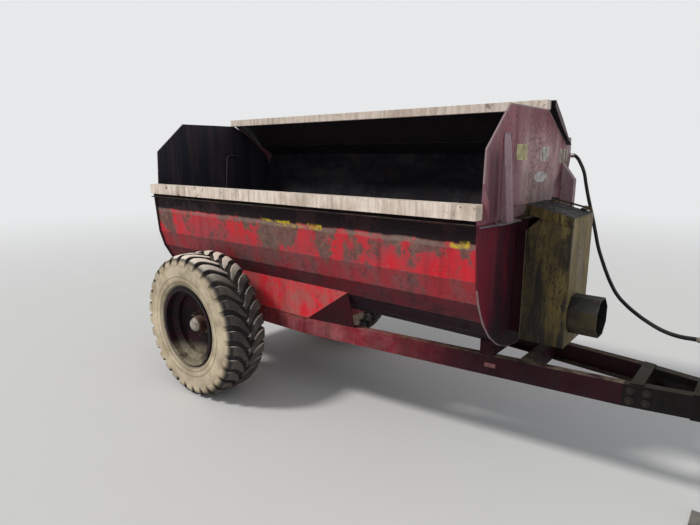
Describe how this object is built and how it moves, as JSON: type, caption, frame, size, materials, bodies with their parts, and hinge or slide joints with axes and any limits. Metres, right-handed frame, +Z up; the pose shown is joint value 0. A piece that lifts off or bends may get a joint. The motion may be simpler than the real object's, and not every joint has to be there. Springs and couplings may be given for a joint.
{
  "type": "manure spreader",
  "caption": "Towed side-discharge manure spreader: a faceted barrel hull on an A-shaped drawbar and one axle, with a flail rotor and a chain case.",
  "frame": {"origin": "centre of the bounding box on the ground the wheels and the jack stand on", "axes": "+X forward to the hitch ring, +Y to the far side (away from the low discharge side), +Z up"},
  "size_m": [4.9339, 2.066, 2.305],
  "materials": {
    "faded red paint": "worn",
    "dark red paint": "worn",
    "plum worn paint": "worn",
    "beige paint": "worn",
    "olive worn paint": "worn",
    "slate worn paint": "worn",
    "rusty steel": "rusty",
    "bare steel": "worn",
    "tyre rubber": "matt, dusty",
    "hose rubber": "matt",
    "reflector red": "faded"
  },
  "bodies": {
    "frame": {"front_plate": "plum worn paint", "rear_plate": "plum worn paint", "side_near": "faded red paint", "floor_barrel": "faded red paint", "side_far": "faded red paint", "hood_far": "plum worn paint", "rail_top_near": "beige paint", "rail_top_far": "beige paint", "ribs_front": "plum worn paint", "ribs_rear": "plum worn paint", "ledge_front": "slate worn paint", "chassis_rail_near": "dark red paint", "chassis_rail_far": "dark red paint", "drawbar_beam_near": "olive worn paint", "drawbar_beam_far": "olive worn paint", "drawbar_nose": "olive worn paint", "cross_member_rear": "dark red paint", "cross_member_bend": "dark red paint", "cross_member_front": "dark red paint", "cross_member_head": "olive worn paint", "bolster_rear": "dark red paint", "bolster_front": "dark red paint", "saddle_near": "faded red paint", "saddle_far": "faded red paint", "axle_beam": "dark red paint", "bearings": "rusty steel", "bearing_box": "dark red paint", "chain_case": "olive worn paint", "drive_chain": "bare steel", "shaft_guard": "slate worn paint", "jack_tube": "slate worn paint", "reflectors": "reflector red", "hose_holder": "rusty steel", "hose_fitting": "bare steel", "hose": "hose rubber", "hose_coupler": "bare steel"},
    "wheel_near": {"hub_near": "rusty steel", "rim_near": "dark red paint", "tyre_near": "tyre rubber"},
    "wheel_far": {"hub_far": "rusty steel", "rim_far": "dark red paint", "tyre_far": "tyre rubber"},
    "rotor": {"rotor": "rusty steel"},
    "input": {"input_shaft": "bare steel"},
    "lid": {"case_lid": "slate worn paint"},
    "jack_leg": {"jack_leg": "bare steel"}
  },
  "joints": [
    {"name": "wheel_near_spin", "type": "hinge", "parent": "frame", "child": "wheel_near", "pos_m": [-1.431, -0.848, 0.588], "axis": [0, 1, 0], "continuous": true},
    {"name": "wheel_far_spin", "type": "hinge", "parent": "frame", "child": "wheel_far", "pos_m": [-1.431, 0.848, 0.588], "axis": [0, 1, 0], "continuous": true},
    {"name": "rotor_spin", "type": "hinge", "parent": "frame", "child": "rotor", "pos_m": [-0.758, 0, 1.345], "axis": [1, 0, 0], "continuous": true},
    {"name": "input_spin", "type": "hinge", "parent": "frame", "child": "input", "pos_m": [1.097, 0, 0.993], "axis": [1, 0, 0], "continuous": true},
    {"name": "lid_hinge", "type": "hinge", "parent": "frame", "child": "lid", "pos_m": [0.97627, 0.261, 1.67351], "axis": [-0.9744, 0, 0.225], "range_deg": [0, 100]},
    {"name": "jack_slide", "type": "slide", "parent": "frame", "child": "jack_leg", "axis": [0, 0, 1], "range_m": [0, 0.3]}
  ],
  "couplings": [
    {"joint": "input_spin", "follows": "rotor_spin", "ratio": 2}
  ]
}
